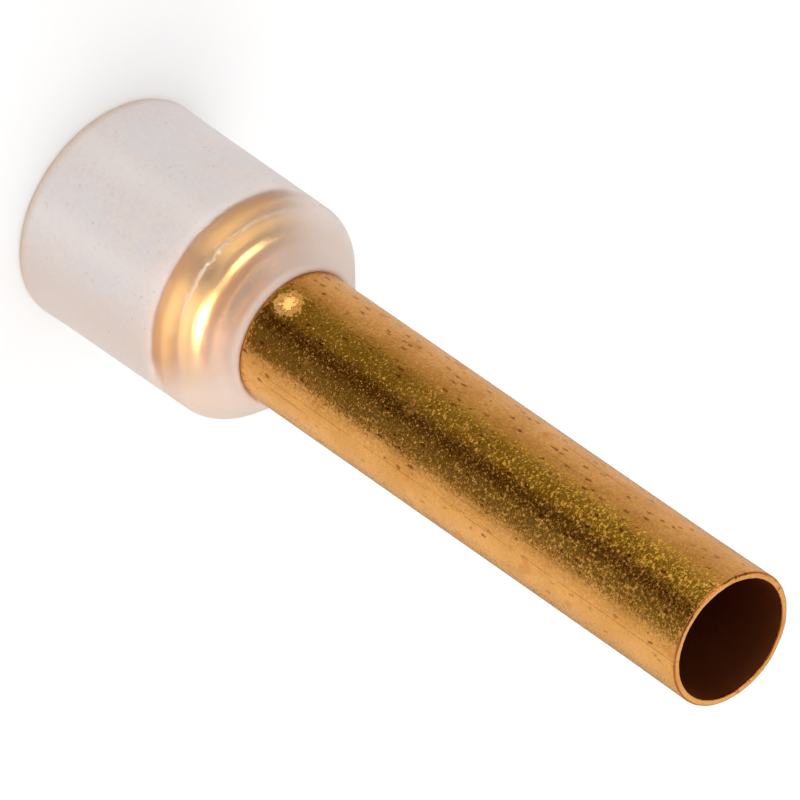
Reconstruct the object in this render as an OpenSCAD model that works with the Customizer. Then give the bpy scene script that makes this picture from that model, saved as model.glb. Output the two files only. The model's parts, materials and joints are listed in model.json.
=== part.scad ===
// Insulated wire end ferrule.
// A gold-plated copper barrel, flared at one end, sits in a moulded collar that takes the wire's insulation.
// It stands on the collar's open mouth, and +Z runs along the barrel to its tip.

/* [Barrel] */
// Outside diameter of the barrel
barrel_d = 4.0; // [3.6:0.05:4.4]
// Wall of the barrel, the same all along it
barrel_wall = 0.2; // [0.12:0.01:0.25]
// Length of barrel in front of the collar
exposed_l = 18; // [8:0.5:24]
// How far the tip swells out, on the radius
tip_swell = 0.024; // [0:0.002:0.04]
// Length over which the tip swells
tip_swell_l = 2.5; // [1:0.1:4]
// Rounding of the tip's outer edge
tip_outer_round = 0.07; // [0.02:0.01:0.07]
// Rounding of the tip's inner edge
tip_inner_round = 0.04; // [0.01:0.01:0.04]

/* [Flare] */
// Outside radius of the bend between skirt and bell
bell_bend_r = 0.75; // [0.45:0.05:0.85]
// Slope of the bell, away from the axis
bell_deg = 65; // [50:1:75]
// Outside radius of the bend between bell and neck
throat_bend_r = 0.3; // [0.15:0.05:0.35]
// How far the flaring leaves the neck swelled at the throat, on the radius
neck_swell = 0.03; // [0.01:0.005:0.04]
// How far in front of the collar the neck's swell has run out
neck_run = 0.1; // [0.06:0.01:0.3]
// Straight length of the skirt behind the bell
skirt_l = 0.8; // [0.4:0.05:1.4]
// Rounding of the skirt's cut rim
rim_round = 0.05; // [0.01:0.01:0.05]

/* [Collar] */
// Overall length of the collar
collar_l = 7.8; // [6:0.1:12]
// Outside diameter where the shoulder starts
collar_d = 6.7; // [6.3:0.05:7.4]
// Wall round the insulation, where the shoulder starts
collar_wall = 0.3; // [0.25:0.01:0.4]
// Draft of the outside
draft_deg = 0.4; // [0:0.1:1]
// How far the lip at the mouth stands out, on the radius
lip_out = 0.015; // [0:0.005:0.06]
// Length of the lip
lip_l = 1.0; // [0.5:0.1:2]
// Rounding of the lip's outer edge
lip_round = 0.1; // [0.05:0.01:0.12]
// Rounding of the mouth's inner edge
mouth_round = 0.12; // [0.05:0.01:0.12]

/* [Shoulder and nose] */
// Radius of the shoulder
shoulder_r = 0.6; // [0.3:0.05:0.9]
// Slope of the nose, away from the axis
nose_deg = 40; // [30:1:48]
// Width of the flat ring at the front of the nose
nose_land = 0.1; // [0.05:0.01:0.2]
// Thinnest wall between bell and nose
nose_wall = 0.3; // [0.15:0.01:0.35]

/* [Fit of barrel and collar] */
// Gap between the barrel and the collar's neck, bell seat and skirt seat
fit_gap = 0.02; // [0.01:0.005:0.04]
// Height of the ledge that stops the insulation short of the skirt, on the radius
seat_step = 0.17; // [0.08:0.01:0.2]
// Gap between the skirt's rim and the ledge behind it
rim_gap = 0.03; // [0.01:0.01:0.1]

/* [Hidden] */
turn_fn = 96;
bend_steps = 12;
edge_steps = 4;

// radii
barrel_r = barrel_d / 2;
shoulder_out_r = collar_d / 2;
bore_r = shoulder_out_r - collar_wall;
seat_r = bore_r - seat_step;
skirt_r = seat_r - fit_gap;
throat_r = barrel_r + neck_swell;
neck_r = barrel_r + fit_gap;
land_r = neck_r + nose_land;

// the nose runs from the land to the shoulder, and touches it tangentially
shoulder_mid_r = shoulder_out_r - shoulder_r;
shoulder_end_r = shoulder_mid_r + shoulder_r * cos(nose_deg);
shoulder_end_z = collar_l - (shoulder_end_r - land_r) / tan(nose_deg);
shoulder_z = shoulder_end_z - shoulder_r * sin(nose_deg);

// the bell bend lies nose_wall under the nose, measured square to it
bell_mid_r = skirt_r - bell_bend_r;
nose_reach = land_r * cos(nose_deg) + collar_l * sin(nose_deg);
bell_reach = nose_reach - nose_wall - fit_gap;
bell_mid_z = (bell_reach - bell_bend_r - bell_mid_r * cos(nose_deg)) / sin(nose_deg);
rim_z = bell_mid_z - skirt_l;

// the bell is a cone, tangent to both bends
throat_mid_r = throat_r + throat_bend_r;
bell_drop_r = skirt_r - throat_r - (bell_bend_r + throat_bend_r) * (1 - cos(bell_deg));
throat_z = bell_mid_z + (bell_bend_r + throat_bend_r) * sin(bell_deg) + bell_drop_r / tan(bell_deg);

// ends
plain_z = collar_l + neck_run;
tip_z = collar_l + exposed_l;
swell_z = tip_z - tip_swell_l;
swell_r = barrel_r + tip_swell;
ledge_z = rim_z - rim_gap;
lip_r = shoulder_out_r + shoulder_z * tan(draft_deg) + lip_out;
lip_start_r = shoulder_out_r + (shoulder_z - lip_l) * tan(draft_deg);

// points of an arc about [r, z], angles from the outward direction towards +Z
function arc(mid, radius, from_deg, to_deg, steps) =
    [for (i = [0:steps])
        let (a = from_deg + (to_deg - from_deg) * i / steps)
        mid + radius * [cos(a), sin(a)]];

// one face of the flare, from the skirt up to the neck, moved out from the barrel's outer face by out
function flare_face(out) = concat(
    arc([bell_mid_r, bell_mid_z], bell_bend_r + out, 0, bell_deg, bend_steps),
    arc([throat_mid_r, throat_z], throat_bend_r - out, 180 + bell_deg, 180, bend_steps));

function reversed(points) = [for (i = [len(points) - 1:-1:0]) points[i]];

module turned(profile) {
    rotate_extrude($fn = turn_fn)
        polygon(profile);
}

// copper tube with its flare, skirt and swelled tip, all one sheet
module barrel() {
    skirt_in_r = skirt_r - barrel_wall;
    barrel_in_r = barrel_r - barrel_wall;
    swell_in_r = swell_r - barrel_wall;
    outer = concat(
        arc([skirt_r - rim_round, rim_z + rim_round], rim_round, -90, 0, edge_steps),
        flare_face(0),
        [[barrel_r, plain_z], [barrel_r, swell_z]],
        arc([swell_r - tip_outer_round, tip_z - tip_outer_round], tip_outer_round, 0, 90, edge_steps));
    inner = concat(
        arc([skirt_in_r + rim_round, rim_z + rim_round], rim_round, 270, 180, edge_steps),
        flare_face(-barrel_wall),
        [[barrel_in_r, plain_z], [barrel_in_r, swell_z]],
        arc([swell_in_r + tip_inner_round, tip_z - tip_inner_round], tip_inner_round, 180, 90, edge_steps));
    color([0.86, 0.62, 0.25])
        turned(concat(outer, reversed(inner)));
}

// moulded collar: lip, drafted wall, shoulder and nose outside; mouth, bore, ledge, seat and neck inside
module collar() {
    outer = concat(
        arc([lip_r - lip_round, lip_round], lip_round, -90, 0, edge_steps),
        [[lip_start_r, lip_l]],
        arc([shoulder_mid_r, shoulder_z], shoulder_r, 0, nose_deg, bend_steps),
        [[land_r, collar_l]]);
    inner = concat(
        arc([bore_r + mouth_round, mouth_round], mouth_round, 270, 180, edge_steps),
        [[bore_r, ledge_z - seat_step], [seat_r, ledge_z]],
        flare_face(fit_gap),
        [[neck_r, collar_l]]);
    color([0.88, 0.84, 0.82, 0.6])
        turned(concat(outer, reversed(inner)));
}

barrel();
collar();
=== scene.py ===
# Wire end ferrule: a flared, gold-plated barrel in a frosted collar, standing on the collar's mouth.
import json
import math

import bpy
from mathutils import Matrix, Vector, noise


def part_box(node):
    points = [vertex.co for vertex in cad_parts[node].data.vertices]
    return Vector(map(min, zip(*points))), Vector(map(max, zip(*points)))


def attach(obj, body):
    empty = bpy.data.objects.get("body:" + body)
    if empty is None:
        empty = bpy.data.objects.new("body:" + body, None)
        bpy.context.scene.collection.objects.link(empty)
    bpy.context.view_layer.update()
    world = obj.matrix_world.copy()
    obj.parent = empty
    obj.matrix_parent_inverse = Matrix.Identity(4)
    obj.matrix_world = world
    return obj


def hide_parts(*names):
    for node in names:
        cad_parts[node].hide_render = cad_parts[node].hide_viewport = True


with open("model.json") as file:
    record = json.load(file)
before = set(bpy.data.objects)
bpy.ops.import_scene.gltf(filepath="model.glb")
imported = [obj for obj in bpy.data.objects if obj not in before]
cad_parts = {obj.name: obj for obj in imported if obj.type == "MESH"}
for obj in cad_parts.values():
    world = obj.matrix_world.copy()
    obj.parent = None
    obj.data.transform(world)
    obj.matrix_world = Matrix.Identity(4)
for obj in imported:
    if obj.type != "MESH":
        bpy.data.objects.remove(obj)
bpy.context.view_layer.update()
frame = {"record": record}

mm = 0.001
mounts = {mount["name"]: mount for mount in frame["record"]["mounts"]}
print("frame loaded")


class Flow:
    # one output socket, with the arithmetic that the finishes use
    def __init__(self, finish, socket):
        self.finish = finish
        self.socket = socket

    def combined(self, operation, first, second):
        return self.finish.node("Math", {"operation": operation}, {0: first, 1: second})

    def __add__(self, other):
        return self.combined("ADD", self, other)

    def __radd__(self, other):
        return self.combined("ADD", other, self)

    def __sub__(self, other):
        return self.combined("SUBTRACT", self, other)

    def __rsub__(self, other):
        return self.combined("SUBTRACT", other, self)

    def __mul__(self, other):
        return self.combined("MULTIPLY", self, other)

    def __rmul__(self, other):
        return self.combined("MULTIPLY", other, self)

    def __truediv__(self, other):
        return self.combined("DIVIDE", self, other)


class Finish:
    # the nodes of one material or world, and the one way in which they are made
    def __init__(self, owner):
        self.owner = owner
        owner.use_nodes = True
        self.tree = owner.node_tree
        self.tree.nodes.clear()

    def node(self, kind, settings, sockets, output=0):
        made = self.tree.nodes.new("ShaderNode" + kind)
        for key, value in settings.items():
            if key == "stops":
                self.setStops(made.color_ramp, value)
            else:
                setattr(made, key, value)
        for key, value in sockets.items():
            if isinstance(value, Flow):
                self.tree.links.new(value.socket, made.inputs[key])
            else:
                made.inputs[key].default_value = value
        return Flow(self, made.outputs[output]) if made.outputs else made

    def setStops(self, ramp, stops):
        for place, colour in stops[len(ramp.elements):]:
            ramp.elements.new(place)
        for element, (place, colour) in zip(ramp.elements, stops):
            element.position = place
            element.color = colour

    # numbers
    def unsigned(self, value):
        return self.node("Math", {"operation": "ABSOLUTE"}, {0: value})

    def larger(self, first, second):
        return self.node("Math", {"operation": "MAXIMUM"}, {0: first, 1: second})

    def smaller(self, first, second):
        return self.node("Math", {"operation": "MINIMUM"}, {0: first, 1: second})

    def between(self, value, low, high):
        # 0 at low, 1 at high, smooth in between
        limits = {"Value": value, "From Min": low, "From Max": high}
        return self.node("MapRange", {"interpolation_type": "SMOOTHSTEP"}, limits)

    def band(self, value, middle, halfWidth, edge):
        # 1 within halfWidth of middle, falling to 0 over edge
        return 1 - self.between(self.unsigned(value - middle), halfWidth, halfWidth + edge)

    def ray(self, kind):
        # 1 where a ray of this kind arrives
        return self.node("LightPath", {}, {}, f"Is {kind} Ray")

    # vectors and places
    def vectors(self, operation, first, second, output=0):
        return self.node("VectorMath", {"operation": operation}, {0: first, 1: second}, output)

    def stretched(self, vector, factors):
        return self.vectors("MULTIPLY", vector, factors)

    def scaled(self, vector, amount):
        return self.node("VectorMath", {"operation": "SCALE"}, {0: vector, "Scale": amount})

    def part(self, vector, axis):
        return self.node("SeparateXYZ", {}, {"Vector": vector}, axis)

    def place(self):
        # position in millimetres, distance from the axis and height
        where = self.node("TexCoord", {}, {}, "Object")
        where = self.stretched(where, (1 / mm, 1 / mm, 1 / mm))
        flat = self.stretched(where, (1, 1, 0))
        outward = self.node("VectorMath", {"operation": "LENGTH"}, {0: flat}, "Value")
        return where, outward, self.part(where, "Z")

    def directions(self, where):
        # how far to the right and how far to the front
        return self.part(where, "X"), self.part(where, "Y") * -1

    # patterns
    def noise(self, vector, scale, detail, roughness=0.5, output=0):
        sockets = {"Vector": vector, "Scale": scale, "Detail": detail, "Roughness": roughness}
        return self.node("TexNoise", {}, sockets, output)

    def scattered(self, vector, scale):
        # distance to the nearest of many scattered points, and that point's own lot, 0 to 1
        sockets = {"Vector": vector, "Scale": scale}
        away = self.node("TexVoronoi", {}, sockets)
        return away, self.part(self.node("TexVoronoi", {}, sockets, "Color"), "X")

    # colours and surfaces
    def mixed(self, factor, first, second):
        # two colours
        return self.node("Mix", {"data_type": "RGBA"}, {0: factor, 6: first, 7: second}, 2)

    def leaning(self, colour, spread, amount, up):
        # the surface's own normal, leaning with each facet of colour by amount, and everywhere up by up
        lean = self.vectors("SUBTRACT", colour, (0.5, 0.5, 0.5))
        lean = self.scaled(self.stretched(lean, spread), amount)
        together = self.vectors("ADD", self.node("NewGeometry", {}, {}, "Normal"), lean)
        together = self.vectors("ADD", together, self.scaled((0, 0, 1), up))
        return self.node("VectorMath", {"operation": "NORMALIZE"}, {0: together})

    def bumped(self, height, depth, normal=None):
        sockets = {"Height": height, "Distance": depth * mm}
        if normal:
            sockets["Normal"] = normal
        return self.node("Bump", {}, sockets)

    def shaderMix(self, factor, first, second):
        return self.node("MixShader", {}, {0: factor, 1: first, 2: second})

    def done(self, shader, kind="Material"):
        self.node("Output" + kind, {}, {"Surface": shader})
        return self.owner


def partWay(first, second, share):
    # first where share is 0, second where it is 1
    return first + share * (second - first)


def around(middle, limits):
    # limits that are given from middle
    return [middle + limit for limit in limits]


def shade(red, green, blue):
    # a colour given as it looks on a screen, 0 to 255
    def linear(value):
        value = value / 255
        return value / 12.92 if value <= 0.04045 else ((value + 0.055) / 1.055) ** 2.4

    return (linear(red), linear(green), linear(blue), 1)


def arc(middle, radius, fromDegrees, toDegrees, steps):
    # points of an arc about (radius, height), angles from outward towards up
    turns = [fromDegrees + (toDegrees - fromDegrees) * i / steps for i in range(steps + 1)]
    return [(middle[0] + radius * math.cos(math.radians(turn)),
             middle[1] + radius * math.sin(math.radians(turn))) for turn in turns]


def spaced(points, longest):
    # the same line, with no step longer than longest
    line = [points[0]]
    for (r0, z0), (r1, z1) in zip(points, points[1:]):
        steps = math.ceil(math.hypot(r1 - r0, z1 - z0) / longest)
        for i in range(1, steps + 1):
            line.append((r0 + (r1 - r0) * i / steps, z0 + (z1 - z0) * i / steps))
    return line


def wander(turn, height, perTurn, perMm, seed):
    # smooth unevenness, -1 to 1, that closes on itself round the axis
    spot = Vector((math.cos(turn) * perTurn, math.sin(turn) * perTurn, height * perMm + seed))
    return noise.noise(spot)


def added(name, corners, faces, material, smooth=False):
    # a mesh as a piece of the scene
    mesh = bpy.data.meshes.new(name)
    mesh.from_pydata(corners, [], faces)
    if smooth:
        mesh.shade_smooth()
    mesh.materials.append(material)
    made = bpy.data.objects.new(name, mesh)
    bpy.context.scene.collection.objects.link(made)
    return made


def turned(name, outline, sides, uneven, material):
    # turns a closed outline about the axis; uneven moves each point a little
    corners = []
    for radius, height in outline:
        for side in range(sides):
            turn = 2 * math.pi * side / sides
            r, z = uneven(radius, height, turn)
            corners.append(((r * math.cos(turn) + aside(height)) * mm, r * math.sin(turn) * mm, z * mm))
    faces = []
    for ring in range(len(outline)):
        after = (ring + 1) % len(outline)
        for side in range(sides):
            beside = (side + 1) % sides
            faces.append((ring * sides + side, ring * sides + beside,
                          after * sides + beside, after * sides + side))
    return added(name, corners, faces, material, smooth=True)


# sizes that both pieces share, in millimetres, from the frame
barrelLow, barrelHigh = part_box("barrel")
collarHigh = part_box("collar")[1]
fit = dict(
    barrelR=mounts["barrel_outside"]["dims"]["r_mm"],
    insideR=mounts["conductor_bore"]["dims"]["r_mm"],
    boreR=mounts["insulation_bore"]["dims"]["r_mm"],
    skirtR=barrelHigh.x / mm,
    rimZ=barrelLow.z / mm,
    tipZ=barrelHigh.z / mm,
    lipR=collarHigh.x / mm,
    collarZ=collarHigh.z / mm,
    grip=0.015,  # how deep the moulded collar grips into the barrel, so that no air lies between them
    aside=-0.063,  # how far the collar stands off the barrel's axis
    asideOver=0.6,  # the height over which it gets there
)


def aside(height):
    # the collar and the flare in it stand a little to one side of the barrel
    share = min(1, max(0, (fit["collarZ"] - height) / fit["asideOver"]))
    return fit["aside"] * share * share * (3 - 2 * share)


flare = dict(
    bellBend=0.75,
    bellDegrees=65,
    throatBend=0.3,
    neckSwell=0.03,
    skirt=0.8,
    steps=14,
)


def flareFace(out):
    # one face of the flare, moved out from the barrel's outer face
    bellR = fit["skirtR"] - flare["bellBend"]
    bellZ = fit["rimZ"] + flare["skirt"]
    throatR = fit["barrelR"] + flare["neckSwell"]
    bends = flare["bellBend"] + flare["throatBend"]
    slope = math.radians(flare["bellDegrees"])
    coneR = fit["skirtR"] - throatR - bends * (1 - math.cos(slope))
    throatZ = bellZ + bends * math.sin(slope) + coneR / math.tan(slope)
    bell = arc((bellR, bellZ), flare["bellBend"] + out, 0, flare["bellDegrees"], flare["steps"])
    throat = arc((throatR + flare["throatBend"], throatZ), flare["throatBend"] - out,
                 180 + flare["bellDegrees"], 180, flare["steps"])
    return bell + throat


barrelShape = dict(
    rimRound=0.05,
    neckRun=0.1,
    tipSwell=0.024,
    tipSwellLength=2.5,
    tipOuterRound=0.07,
    tipInnerRound=0.04,
    sides=320,
    outerStep=0.12,
    innerStep=0.5,
    roundSteps=5,
    tipSteps=6,
    # how far the drawn wall and the cut ends waver, each way with its perTurn, perMm and seed
    drawnWave=0.0025,
    drawn=(1.6, 0.25, 3),
    cutWave=0.012,
    cutOver=0.12,  # the height over which that fades
    tipOutward=(7, 1, 11),
    tipUpward=(5, 1, 23),
    rimUpward=(6, 1, 31),
)


def unevenBarrel(radius, height, turn):
    shape = barrelShape
    tip = max(0, 1 - (fit["tipZ"] - height) / shape["cutOver"])
    rim = max(0, 1 - (height - fit["rimZ"]) / shape["cutOver"])
    r = radius + shape["drawnWave"] * wander(turn, height, *shape["drawn"])
    r += shape["cutWave"] * tip * wander(turn, 0, *shape["tipOutward"])
    up = tip * wander(turn, 0, *shape["tipUpward"]) + rim * wander(turn, 0, *shape["rimUpward"])
    return r, height + shape["cutWave"] * up


goldLook = dict(
    # each noise has how many per millimetre, its detail and perhaps its roughness
    # the plate, in two shades, with pale crests, olive hollows and soft stains
    bright=shade(235, 172, 97),
    deep=shade(223, 160, 85),
    shades=(0.8, 3),
    shadeLimits=(0.35, 0.65),
    pale=shade(246, 214, 142),
    paleShare=0.2,
    paleLimits=(0.5, 0.68),
    olive=shade(178, 142, 54),
    oliveShare=0.3,
    oliveLimits=(0.5, 0.32),
    stain=shade(214, 140, 62),
    stainShare=0.35,
    stains=(1.1, 2),
    stainLimits=(0.63, 0.7),
    edgeTint=(1.0, 0.9, 0.75, 1),
    # where the collar holds it, just outside the collar, where a darker ring is painted shade, and in the
    # bore, whose darker colour is painted shade too
    held=shade(238, 190, 116),
    heldLimits=(-0.1, 0),
    root=shade(186, 132, 68),
    rootBand=(0.03, 0.06),
    inside=shade(176, 104, 60),
    insideLimits=(-0.03, 0.03),
    # copper-red on the cut edges: bare copper, and on the tip's rounded edges also a painted reflection
    copper=shade(172, 84, 46),
    tipLimits=(-0.07, -0.02),
    outerLimits=(-0.05, 0.01),
    innerLimits=(0.03, 0.06),
    rimLimits=(0.02, 0.08),
    # a scraped mark by the collar, which faces up
    mark=(-0.68, -1.88, 8.4),
    markReach=0.85,
    markRagged=0.6,
    markShares=(0.3, 1.4),
    markRise=1.1,
    # the flare is rougher in the hollow between bell and neck, and darker there, most of all in front: the
    # darkening is painted shade
    throatTone=shade(128, 92, 52),
    throat=7.05,
    throatBand=(0.05, 0.14),
    throatShares=(0.2, 0.45),
    throatFront=(0.86, 1.0),
    # fine lines from drawing the tube, here and there
    pit=shade(150, 76, 36),  # bare, darkened copper
    lineShare=0.5,
    lineDepth=0.5,
    lines=(17, 2),
    lineStretch=(1, 1, 0.012),
    lineLimits=(0.6, 0.72),
    areas=(0.3, 1),
    areaLimits=(0.48, 0.56),
    # one long line, by the sine of its direction, with breaks
    longLine=0.68,
    longBand=(0.002, 0.006),
    longFront=(0, 0.5),
    breaks=(0.9, 3),
    breakLimits=(0.4, 0.5),
    # pits: short dashes, most of them on one side
    pitShare=0.85,
    pitsPerMm=4.6,
    pitStretch=(1, 1, 0.45),
    pitRagged=0.5,
    pitSizes=(0.13, 0.3),
    pitLots=(0.35, 0.7),
    pitSide=0.16,
    # a ragged scratch round the front of the bell bend, with a dark lip under it
    burr=shade(255, 250, 230),
    burrHeight=6.14,
    burrSlope=0.02,
    burrBand=(0.014, 0.016),
    burrBends=(3.5, 2),
    bendReach=0.14,
    burrTeeth=(13, 2),
    teethReach=0.33,
    burrFront=(0.6, 1.2),
    burrEnd=(1.1, 1.3),
    lipDrop=0.04,
    lipBand=(0.01, 0.02),
    lipShare=0.6,
    # fine facets, which lean up and down the barrel most, and less near the collar
    facets=(11, 4, 0.75),
    facetSpread=(0.25, 0.25, 1),
    lean=2.15,
    leanShares=(0.6, 0.4),
    leanHeights=(7.9, 9.5),
    grain=(14.3, 2.5, 0.6),
    grainDepth=0.003,
    # roughness: of the plate, in its grain, where the collar holds it, in the bore, and what each flaw adds
    smooth=0.1,
    rough=0.3,
    roughLimits=(0.4, 0.7),
    satin=0.25,
    dull=0.45,
    burrRough=0.3,
    burrMatt=0.8,  # how far it loses the look of metal
    stainRough=0.2,
    markRough=0.15,
    throatRough=0.5,
)


def goldFinish():
    look = goldLook
    gold = Finish(bpy.data.materials.new("goldPlate"))
    where, outward, height = gold.place()
    sideways, forwards = gold.directions(where)
    grain = gold.noise(where, *look["grain"])
    patches = gold.noise(where, *look["shades"])
    # the part that the collar holds was never rubbed
    rubbed = gold.between(height, *around(fit["collarZ"], look["heldLimits"]))
    cut = gold.between(height, *around(fit["tipZ"], look["tipLimits"]))
    wallR = (fit["barrelR"] + fit["insideR"]) / 2
    within = (1 - gold.between(outward, *around(wallR, look["insideLimits"]))) * (1 - cut)
    plate = gold.mixed(gold.between(patches, *look["shadeLimits"]), look["bright"], look["deep"])
    for tone in ("pale", "olive"):
        amount = gold.between(grain, *look[tone + "Limits"]) * look[tone + "Share"] * rubbed
        plate = gold.mixed(amount, plate, look[tone])
    stains = gold.between(gold.noise(where, *look["stains"]), *look["stainLimits"])
    stains = stains * rubbed * (1 - within)
    plate = gold.mixed(stains * look["stainShare"], plate, look["stain"])
    away = gold.vectors("DISTANCE", where, look["mark"], "Value")
    mark = 1 - gold.between(away + (patches - 0.5) * look["markRagged"], 0, look["markReach"])
    least, more = look["markShares"]
    mark = mark * mark * (least + more * grain)
    plate = gold.mixed(1 - rubbed, plate, look["held"])
    # the throat: rougher, and darker with painted shade that is strongest in front
    throat = gold.band(height, look["throat"], *look["throatBand"]) * (1 - rubbed)
    front = gold.between(forwards / outward, *look["throatFront"])
    least, more = look["throatShares"]
    plate = gold.mixed(throat * (least + more * front), plate, look["throatTone"])
    # painted shade: a darker ring where the barrel comes out of the collar
    root = gold.band(height, fit["collarZ"], *look["rootBand"]) * (1 - within)
    plate = gold.mixed(root, plate, look["root"])
    # lines
    lines = gold.noise(gold.stretched(where, look["lineStretch"]), *look["lines"])
    areas = gold.between(gold.noise(where, *look["areas"]), *look["areaLimits"])
    lines = gold.between(lines, *look["lineLimits"]) * areas * rubbed
    breaks = gold.noise(gold.stretched(where, (0, 0, 1)), *look["breaks"])
    long = gold.band(sideways / outward, look["longLine"], *look["longBand"])
    long = long * gold.between(forwards, *look["longFront"])
    lines = lines + long * gold.between(breaks, *look["breakLimits"]) * rubbed * (1 - lines)
    plate = gold.mixed(lines * look["lineShare"], plate, look["pit"])
    # pits
    away, lot = gold.scattered(gold.stretched(where, look["pitStretch"]), look["pitsPerMm"])
    pits = 1 - gold.between(away + (grain - 0.5) * look["pitRagged"], *look["pitSizes"])
    pits = pits * gold.between(lot - sideways * look["pitSide"], *look["pitLots"]) * rubbed
    plate = gold.mixed(pits * look["pitShare"], plate, look["pit"])
    # cut edges, and the bore, whose darker colour is painted shade
    outer = gold.between(outward, *around(fit["barrelR"], look["outerLimits"]))
    inner = 1 - gold.between(outward, *around(fit["insideR"], look["innerLimits"]))
    rim = 1 - gold.between(height, *around(fit["rimZ"], look["rimLimits"]))
    # copper-red edges: bare copper, partly a painted reflection on the tip's roundings
    plate = gold.mixed(gold.larger(cut * (outer + inner), rim), plate, look["copper"])
    # painted shade: the bore is darker inside
    plate = gold.mixed(within, plate, look["inside"])
    # scratch
    bends = (gold.noise(where, *look["burrBends"]) - 0.5) * look["bendReach"]
    teeth = (gold.noise(where, *look["burrTeeth"]) - 0.5) * look["teethReach"]
    line = height + (bends + teeth) - sideways * look["burrSlope"]
    front = gold.between(forwards, *look["burrFront"])
    scratch = gold.band(line, look["burrHeight"], *look["burrBand"]) * front
    scratch = scratch * (1 - gold.between(sideways, *look["burrEnd"])) * (1 - rubbed)
    lip = gold.band(line, look["burrHeight"] - look["lipDrop"], *look["lipBand"])
    lip = lip * front * (1 - rubbed) * (1 - scratch)
    plate = gold.mixed(lip * look["lipShare"], plate, look["pit"])
    plate = gold.mixed(scratch, plate, look["burr"])
    # roughness
    fine = gold.between(grain, *look["roughLimits"]) * rubbed * (1 - within)
    roughness = partWay(look["satin"], look["smooth"], rubbed)
    roughness = roughness + fine * (look["rough"] - look["smooth"])
    roughness = roughness + within * (look["dull"] - look["smooth"])
    roughness = roughness + scratch * look["burrRough"] + stains * look["stainRough"]
    roughness = roughness + mark * look["markRough"] + throat * look["throatRough"]
    # relief
    relief = (grain - pits - lines * look["lineDepth"]) * rubbed
    least, more = look["leanShares"]
    lean = look["lean"] * rubbed * (1 - within) * (1 - root)
    lean = lean * (least + more * gold.between(height, *look["leanHeights"]))
    facets = gold.noise(where, *look["facets"], output="Color")
    normal = gold.leaning(facets, look["facetSpread"], lean, mark * look["markRise"])
    shader = gold.node("BsdfPrincipled", {}, {
        "Base Color": plate,
        "Metallic": 1 - scratch * look["burrMatt"],
        "Roughness": roughness,
        "Specular Tint": look["edgeTint"],
        "Normal": gold.bumped(relief, look["grainDepth"], normal),
    })
    return gold.done(shader)


def makeBarrel():
    shape = barrelShape
    wall = fit["barrelR"] - fit["insideR"]
    swellR = fit["barrelR"] + shape["tipSwell"]
    plainZ = fit["collarZ"] + shape["neckRun"]
    swellZ = fit["tipZ"] - shape["tipSwellLength"]
    tip, inside, rim = shape["tipOuterRound"], shape["tipInnerRound"], shape["rimRound"]
    steps = shape["roundSteps"]
    outer = (arc((fit["skirtR"] - rim, fit["rimZ"] + rim), rim, -90, 0, steps)
             + flareFace(0)
             + [(fit["barrelR"], plainZ), (fit["barrelR"], swellZ)]
             + arc((swellR - tip, fit["tipZ"] - tip), tip, 0, 90, shape["tipSteps"]))
    inner = (arc((fit["skirtR"] - wall + rim, fit["rimZ"] + rim), rim, 270, 180, steps)
             + flareFace(-wall)
             + [(fit["insideR"], plainZ), (fit["insideR"], swellZ)]
             + arc((swellR - wall + inside, fit["tipZ"] - inside), inside, 180, 90, steps))
    outline = spaced(outer, shape["outerStep"]) + spaced(inner, shape["innerStep"])[::-1]
    return turned("goldBarrel", outline, shape["sides"], unevenBarrel, goldFinish())


barrel = makeBarrel()
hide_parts("barrel")
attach(barrel, "root")
print("barrel made")

collarShape = dict(
    wall=0.3,
    draft=0.4,
    lipLength=1.0,
    lipRound=0.1,
    mouthRound=0.12,
    shoulder=0.6,
    noseDegrees=40,
    noseLand=0.1,
    neckGap=0.02,
    seatStep=0.17,
    rimGap=0.03,
    sides=288,
    step=0.12,
    roundSteps=6,
    shoulderSteps=14,
    # how far the moulded wall and its mouth waver, each with its perTurn, perMm and seed
    wallWave=0.012,
    wallOver=0.5,  # the height over which that grows
    moulded=(0.9, 0.12, 47),
    mouthWave=0.006,
    mouthOver=0.3,  # the height over which that fades
    mouthUpward=(3, 1, 53),
)


def noseLine():
    # radius at the front of the nose, radius behind the shoulder, and the nose's slope
    shape = collarShape
    landR = fit["barrelR"] + shape["neckGap"] + shape["noseLand"]
    return landR, fit["boreR"] + shape["wall"], math.radians(shape["noseDegrees"])


def unevenCollar(radius, height, turn):
    shape = collarShape
    wall = min(1, height / shape["wallOver"])
    mouth = max(0, 1 - height / shape["mouthOver"])
    r = radius + shape["wallWave"] * wander(turn, height, *shape["moulded"]) * wall
    z = height + shape["mouthWave"] * mouth * (1 + wander(turn, 0, *shape["mouthUpward"]))
    return r, z


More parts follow.
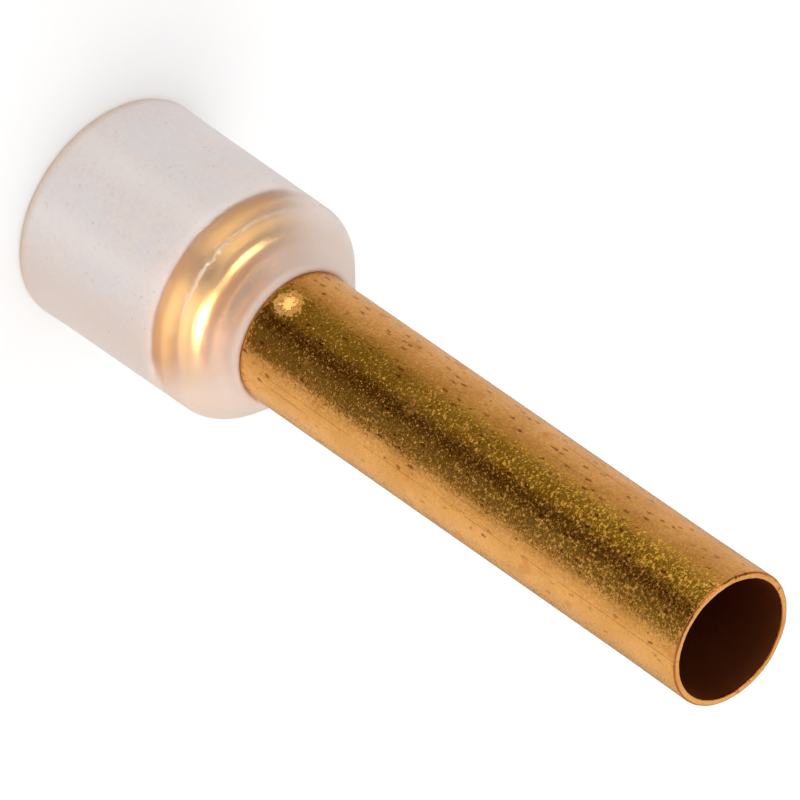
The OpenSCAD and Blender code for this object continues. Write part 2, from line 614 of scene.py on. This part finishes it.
frostLook = dict(
    # each noise has how many per millimetre, its detail and perhaps its roughness
    # the milky plastic, with its mottle and cooler clouds
    milk=shade(251, 240, 236),
    mottle=shade(244, 233, 230),
    mottles=(7, 3, 0.6),
    mottleLimits=(0.4, 0.65),
    cool=shade(241, 240, 243),
    coolShare=0.45,
    clouds=(0.7, 3),
    coolLimits=(0.45, 0.62),
    # painted sheen: two soft lighter streaks down the front, by the sine of their direction; and painted
    # shade on one side
    streak=shade(255, 248, 245),
    streakAt=0.33,
    streakBand=(0.01, 0.17),
    streakShares=(0.25, 0.9),
    streakFront=(0, 1),
    dim=shade(238, 222, 212),
    dimLimits=(0.45, 0.85),
    # specks: scattered ones, and fine ones from the fine relief
    speck=shade(140, 128, 122),
    speckShare=0.36,
    specksPerMm=3.2,
    speckSizes=(0.04, 0.2),
    speckLots=(0.3, 1),
    fineShare=0.35,
    fine=(11, 2),
    fineLimits=(0.6, 0.72),
    fineDepth=0.004,
    # a painted tan tint near the barrel, for the gold that shows through, and painted light on the mouth's
    # edge
    tan=shade(233, 217, 207),
    tanHeights=(6.4, 7.2),
    warm=shade(240, 212, 186),
    warmHeights=(0.04, 0.34),
    warmLimits=(3.2, 3.36),
    # the clear plastic under it
    clear=shade(253, 250, 248),
    ior=1.49,
    shine=(0.04, 0.04, 0.04, 1),  # little, since it is frosted
    clearRoughness=0.28,
    cloudRoughness=0.06,
    milkRoughness=0.45,
    glow=0.15,  # share of the milk that lets light through
    # haze, the share of milk: behind the flare, then over it, on the nose and on the nose's front edge
    haze=0.85,
    behindHeights=(5.43, 5.6),
    bandHaze=0.16,
    noseHaze=0.6,
    noseHeights=(6.7, 7.5),
    edgeHeights=(7.6, 7.75),
    cloudHaze=0.15,
    # less of it on the nose where that faces the view, and more where the plastic is seen edge on
    frontHaze=0.2,
    frontHeights=(6.8, 7.2),
    frontFacing=(0, 0.1),
    sideHaze=0.75,
    sideFacing=(0.06, 0.46),
    sideHeights=(5.9, 6.6),
    sideStart=0.45,  # added to those facings below these heights
    # hardly any on the seat of the flare
    innerHaze=0.05,
    innerDepths=(0.1, 0.16),
)


def frostFinish():
    look = frostLook
    frost = Finish(bpy.data.materials.new("frostedPlastic"))
    where, outward, height = frost.place()
    sideways, forwards = frost.directions(where)
    sideways = sideways / outward
    cloud = frost.noise(where, *look["clouds"])
    fine = frost.noise(where, *look["fine"])
    away, lot = frost.scattered(where, look["specksPerMm"])
    specks = (1 - frost.between(away, *look["speckSizes"])) * frost.between(lot, *look["speckLots"])
    specks = specks + frost.between(fine, *look["fineLimits"]) * look["fineShare"] * (1 - specks)
    # milk
    mottle = frost.between(frost.noise(where, *look["mottles"]), *look["mottleLimits"])
    milk = frost.mixed(mottle, look["milk"], look["mottle"])
    cool = frost.between(cloud, *look["coolLimits"]) * look["coolShare"]
    milk = frost.mixed(cool, milk, look["cool"])
    # painted sheen: two lighter streaks down the front of the collar
    sheenStreaks = frost.band(frost.unsigned(sideways), look["streakAt"], *look["streakBand"])
    sheenStreaks = sheenStreaks * frost.between(forwards, *look["streakFront"])
    least, more = look["streakShares"]
    milk = frost.mixed(sheenStreaks * (least + cloud * more), milk, look["streak"])
    # painted shade: darker on one side
    milk = frost.mixed(frost.between(sideways, *look["dimLimits"]), milk, look["dim"])
    milk = frost.mixed(specks * look["speckShare"], milk, look["speck"])
    # painted tint of the gold showing through near the barrel
    milk = frost.mixed(frost.between(height, *look["tanHeights"]), milk, look["tan"])
    # painted light caught by the mouth's edge
    edge = (1 - frost.between(height, *look["warmHeights"])) * frost.between(outward, *look["warmLimits"])
    milk = frost.mixed(edge, milk, look["warm"])
    # surfaces
    surface = frost.bumped(fine, look["fineDepth"])
    diffuse = frost.node("BsdfPrincipled", {}, {
        "Base Color": milk,
        "Roughness": look["milkRoughness"],
        "IOR": look["ior"],
        "Normal": surface,
    })
    glow = frost.node("BsdfTranslucent", {}, {"Color": look["milk"], "Normal": surface})
    milky = frost.shaderMix(look["glow"], diffuse, glow)
    clear = frost.node("BsdfPrincipled", {}, {
        "Base Color": look["clear"],
        "Roughness": look["clearRoughness"] + cloud * look["cloudRoughness"],
        "IOR": look["ior"],
        "Transmission Weight": 1.0,
        "Specular Tint": look["shine"],
        "Normal": surface,
    })
    # haze
    behind = 1 - frost.between(height, *look["behindHeights"])
    landR, bodyR, slope = noseLine()
    outerR = frost.smaller(landR + (fit["collarZ"] - height) * math.tan(slope), bodyR)
    inner = frost.between(outerR - outward, *look["innerDepths"])
    facing = frost.node("LayerWeight", {}, {"Blend": 0.5}, "Facing")
    start = look["sideStart"] * (1 - frost.between(height, *look["sideHeights"]))
    side = frost.between(facing - start, *look["sideFacing"])
    front = (1 - frost.between(facing, *look["frontFacing"])) * frost.between(height, *look["frontHeights"])
    haze = partWay(look["bandHaze"], look["noseHaze"], frost.between(height, *look["noseHeights"]))
    haze = haze - front * look["frontHaze"]
    haze = haze + (cloud - 0.5) * look["cloudHaze"]
    haze = haze + (1 - haze) * side * look["sideHaze"]
    haze = partWay(haze, look["haze"], frost.between(height, *look["edgeHeights"]))
    haze = partWay(haze, look["innerHaze"], inner)
    haze = partWay(haze, look["haze"], behind)
    return frost.done(frost.shaderMix(haze, clear, milky))


def makeCollar():
    shape = collarShape
    landR, bodyR, slope = noseLine()
    seatR = fit["skirtR"] - fit["grip"]
    shoulderR = bodyR - shape["shoulder"]
    shoulderEndR = shoulderR + shape["shoulder"] * math.cos(slope)
    shoulderEndZ = fit["collarZ"] - (shoulderEndR - landR) / math.tan(slope)
    shoulderZ = shoulderEndZ - shape["shoulder"] * math.sin(slope)
    lipStartR = bodyR + (shoulderZ - shape["lipLength"]) * math.tan(math.radians(shape["draft"]))
    ledgeZ = fit["rimZ"] - shape["rimGap"]
    lip, mouth, steps = shape["lipRound"], shape["mouthRound"], shape["roundSteps"]
    outer = (arc((fit["lipR"] - lip, lip), lip, -90, 0, steps)
             + [(lipStartR, shape["lipLength"])]
             + arc((shoulderR, shoulderZ), shape["shoulder"], 0, shape["noseDegrees"],
                   shape["shoulderSteps"])
             + [(landR, fit["collarZ"])])
    inner = (arc((fit["boreR"] + mouth, mouth), mouth, 270, 180, steps)
             + [(fit["boreR"], ledgeZ - shape["seatStep"]), (seatR, ledgeZ)]
             + flareFace(-fit["grip"])
             + [(fit["barrelR"] - fit["grip"], fit["collarZ"])])
    outline = spaced(outer, shape["step"]) + spaced(inner, shape["step"])[::-1]
    return turned("frostedCollar", outline, shape["sides"], unevenCollar, frostFinish())


collar = makeCollar()
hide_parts("collar")
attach(collar, "root")
print("collar made")

floorLook = dict(
    radius=0.6,
    height=-0.01 * mm,
    sides=96,
    colour=(0.74, 0.74, 0.74, 1),
    glow=0.18,
)


def floorFinish():
    floor = Finish(bpy.data.materials.new("paleFloor"))
    show = floor.larger(floor.larger(floor.ray("Camera"), floor.ray("Glossy")), floor.ray("Transmission"))
    plain = floor.node("BsdfDiffuse", {}, {"Color": floorLook["colour"]})
    glow = floor.node("Emission", {}, {"Color": (1, 1, 1, 1), "Strength": show * floorLook["glow"]})
    return floor.done(floor.node("AddShader", {}, {0: plain, 1: glow}))


def makeFloor():
    look = floorLook
    turns = [2 * math.pi * i / look["sides"] for i in range(look["sides"])]
    rim = [(look["radius"] * math.cos(turn), look["radius"] * math.sin(turn), look["height"])
           for turn in turns]
    return added("floor", rim, [tuple(range(look["sides"]))], floorFinish())


floor = makeFloor()

cardLook = dict(
    near=6 * mm,
    far=200 * mm,
    height=0.3 * mm,
    segments=120,
    blend=(22, 80),  # from the near stops to the distant ones, in millimetres from the axis
    # its colours by direction, in degrees from the front towards +X
    # reflected by the barrel, behind it
    left=((-180, (0.3, 0.24, 0.12)), (-168, (0.35, 0.29, 0.16)), (-150, (0.86, 0.8, 0.78)),
          (-105, (0.74, 0.7, 0.72)), (-82, (0.6, 0.52, 0.44))),
    right=((85, (0.95, 0.9, 0.87)), (118, (1.0, 0.97, 0.96)), (150, (0.68, 0.6, 0.5)),
           (168, (0.35, 0.29, 0.16)), (180, (0.3, 0.24, 0.12))),
    # reflected by it, in front, near and distant
    nearFront=((-62, (0.4, 0.35, 0.2)), (-50, (0.19, 0.18, 0.05)), (-22, (0.19, 0.17, 0.045)),
               (-6, (0.06, 0.04, 0.01)), (6, (0.06, 0.04, 0.01)), (22, (0.16, 0.14, 0.06)),
               (50, (0.18, 0.16, 0.07)), (60, (0.7, 0.63, 0.55))),
    distantFront=((-67, (0.45, 0.4, 0.3)), (-62, (0.9, 0.97, 0.43)), (-24, (0.95, 1.0, 0.43)),
                  (-8, (0.3, 0.24, 0.12)), (6, (0.3, 0.24, 0.12)), (20, (0.62, 0.63, 0.36)),
                  (60, (0.75, 0.7, 0.55))),
    # seen through the collar
    foot=((-180, (0.95, 0.92, 0.9)), (-110, (0.8, 0.76, 0.7)), (-80, (0.9, 0.82, 0.66)),
          (-40, (1.4, 1.3, 1.0)), (-20, (1.2, 1.1, 0.8)), (-9, (0.1, 0.08, 0.04)),
          (8, (0.1, 0.08, 0.04)), (18, (1.4, 1.3, 1.1)), (40, (2.0, 2.1, 2.0)),
          (75, (1.5, 1.45, 1.35)), (110, (0.85, 0.78, 0.7)), (180, (0.9, 0.86, 0.84))),
)


def cardFinish():
    look = cardLook
    card = Finish(bpy.data.materials.new("gradedCard"))
    where, outward, height = card.place()
    sideways, forwards = card.directions(where)
    turn = card.node("Math", {"operation": "ARCTAN2"}, {0: sideways, 1: forwards}) / (2 * math.pi) + 0.5

    def byDirection(stops):
        # a ramp round the axis
        places = [((degrees + 180) / 360, (*colour, 1)) for degrees, colour in stops]
        return card.node("ValToRGB", {"stops": places}, {"Fac": turn})

    near = byDirection(look["left"] + look["nearFront"] + look["right"])
    distant = byDirection(look["left"] + look["distantFront"] + look["right"])
    colour = card.mixed(card.between(outward, *look["blend"]), near, distant)
    colour = card.mixed(card.ray("Transmission"), colour, byDirection(look["foot"]))
    return card.done(card.node("Emission", {}, {"Color": colour, "Strength": 1.0}))


def makeCard():
    # a graded card round the foot, which only reflections show
    look = cardLook
    corners = []
    for i in range(look["segments"]):
        turn = 2 * math.pi * i / look["segments"]
        for reach in (look["near"], look["far"]):
            corners.append((reach * math.sin(turn), -reach * math.cos(turn), look["height"]))
    count = len(corners)
    faces = [(2 * i, (2 * i + 2) % count, (2 * i + 3) % count, 2 * i + 1)
             for i in range(look["segments"])]
    card = added("card", corners, faces, cardFinish())
    card.visible_camera = False
    card.visible_diffuse = False
    card.visible_shadow = False
    return card


makeCard()

worldLook = dict(
    white=1.0,
    light=1.0,  # what falls on pale surfaces
    dimmest=0.25,  # what metal reflects from overhead and from the left
    rightLimits=(0.1, 0.75),
    behind=0.95,  # what it reflects from behind and above
    behindLimits=(0.3, 0.65),
    low=0.85,  # what it reflects near the horizon, and of that on the left
    lowLeft=0.5,
    leftLimits=(-0.9, -0.7),
    lowLimits=(0.15, 0.45),
    through=0.8,  # share of that seen through the collar
)


def makeWorld():
    look = worldLook
    sky = Finish(bpy.data.worlds.new("paleStudio"))
    camera, glossy, through = [sky.ray(kind) for kind in ("Camera", "Glossy", "Transmission")]
    toward = sky.node("TexCoord", {}, {}, "Generated")
    sideways, back, up = [sky.part(toward, axis) for axis in "XYZ"]
    overhead = partWay(look["dimmest"], look["white"], sky.between(sideways, *look["rightLimits"]))
    overhead = partWay(overhead, look["behind"], sky.between(back, *look["behindLimits"]))
    low = partWay(look["lowLeft"], look["low"], sky.between(sideways, *look["leftLimits"]))
    overhead = partWay(low, overhead, sky.between(up, *look["lowLimits"]))
    overhead = overhead * (1 - through * (1 - look["through"]))
    strength = partWay(look["light"], overhead, sky.larger(glossy, through))
    strength = partWay(strength, look["white"], camera)
    light = sky.node("Background", {}, {"Color": (1, 1, 1, 1), "Strength": strength})
    bpy.context.scene.world = sky.done(light, "World")


makeWorld()

# soft boxes: panels that show only in reflections or through the collar, and one lamp for the floor
lampDistance = 0.4
lamps = dict(
    largePanel=dict(start=(0.36, -0.02, 0.93), end=(0.61, -0.57, 0.55), width=0.15, radiance=40,
                    seenBy="transmission"),
    lowerPanel=dict(start=(0.62, -0.59, 0.52), end=(0.67, -0.71, 0.2), width=0.16, radiance=7,
                    seenBy="transmission"),
    smallPanel=dict(start=(-0.29, -0.02, 0.957), end=(-0.45, -0.47, 0.76), width=0.14, radiance=13,
                    seenBy="transmission"),
    glintPanel=dict(start=(-0.15, 0.25, 0.95), end=(-0.5, -0.7, 0.5), width=0.24, radiance=1.9,
                    seenBy="glossy"),
    softLamp=dict(start=(0.1, 0.35, 0.93), end=(0.35, 0.0, 0.93), width=0.2, radiance=3.2,
                  seenBy="diffuse"),
)


def makeLamp(name, look):
    start, end = Vector(look["start"]).normalized(), Vector(look["end"]).normalized()
    toward = (start + end).normalized()
    along = (end - start).normalized()
    light = bpy.data.lights.new(name, "AREA")
    light.shape = "RECTANGLE"
    light.size = (end - start).length * lampDistance
    light.size_y = look["width"]
    light.energy = look["radiance"] * math.pi * light.size * light.size_y
    lamp = bpy.data.objects.new(name, light)
    turn = Matrix((along, toward.cross(along), toward)).transposed().to_4x4()
    lamp.matrix_world = Matrix.Translation(toward * lampDistance) @ turn
    lamp.visible_diffuse = look["seenBy"] == "diffuse"
    lamp.visible_glossy = look["seenBy"] == "glossy"
    lamp.visible_transmission = look["seenBy"] == "transmission"
    bpy.context.scene.collection.objects.link(lamp)


for name, look in lamps.items():
    makeLamp(name, look)
print("floor and light made")

cameraLook = dict(
    elevation=37.72,
    roll=124.74,
    aim=12.20 * mm,  # height on the axis
    lift=0.267 * mm,  # how far above it the middle of the view is, as the view sees it
    distance=0.479,
    width=21.74 * mm,  # of the view at the aim
    sensor=36,
)


def makeCamera():
    look = cameraLook
    data = bpy.data.cameras.new("camera")
    data.sensor_width = look["sensor"]
    data.lens = data.sensor_width * look["distance"] / look["width"]
    camera = bpy.data.objects.new("camera", data)
    tilt = Matrix.Rotation(math.radians(90 - look["elevation"]), 4, "X")
    roll = Matrix.Rotation(math.radians(look["roll"]), 4, "Z")
    camera.matrix_world = (Matrix.Translation((0, 0, look["aim"])) @ tilt @ roll
                           @ Matrix.Translation((0, look["lift"], look["distance"])))
    bpy.context.scene.collection.objects.link(camera)
    bpy.context.scene.camera = camera


makeCamera()
bpy.context.scene.view_settings.view_transform = "Standard"
print("camera made")

bpy.context.view_layer.update()
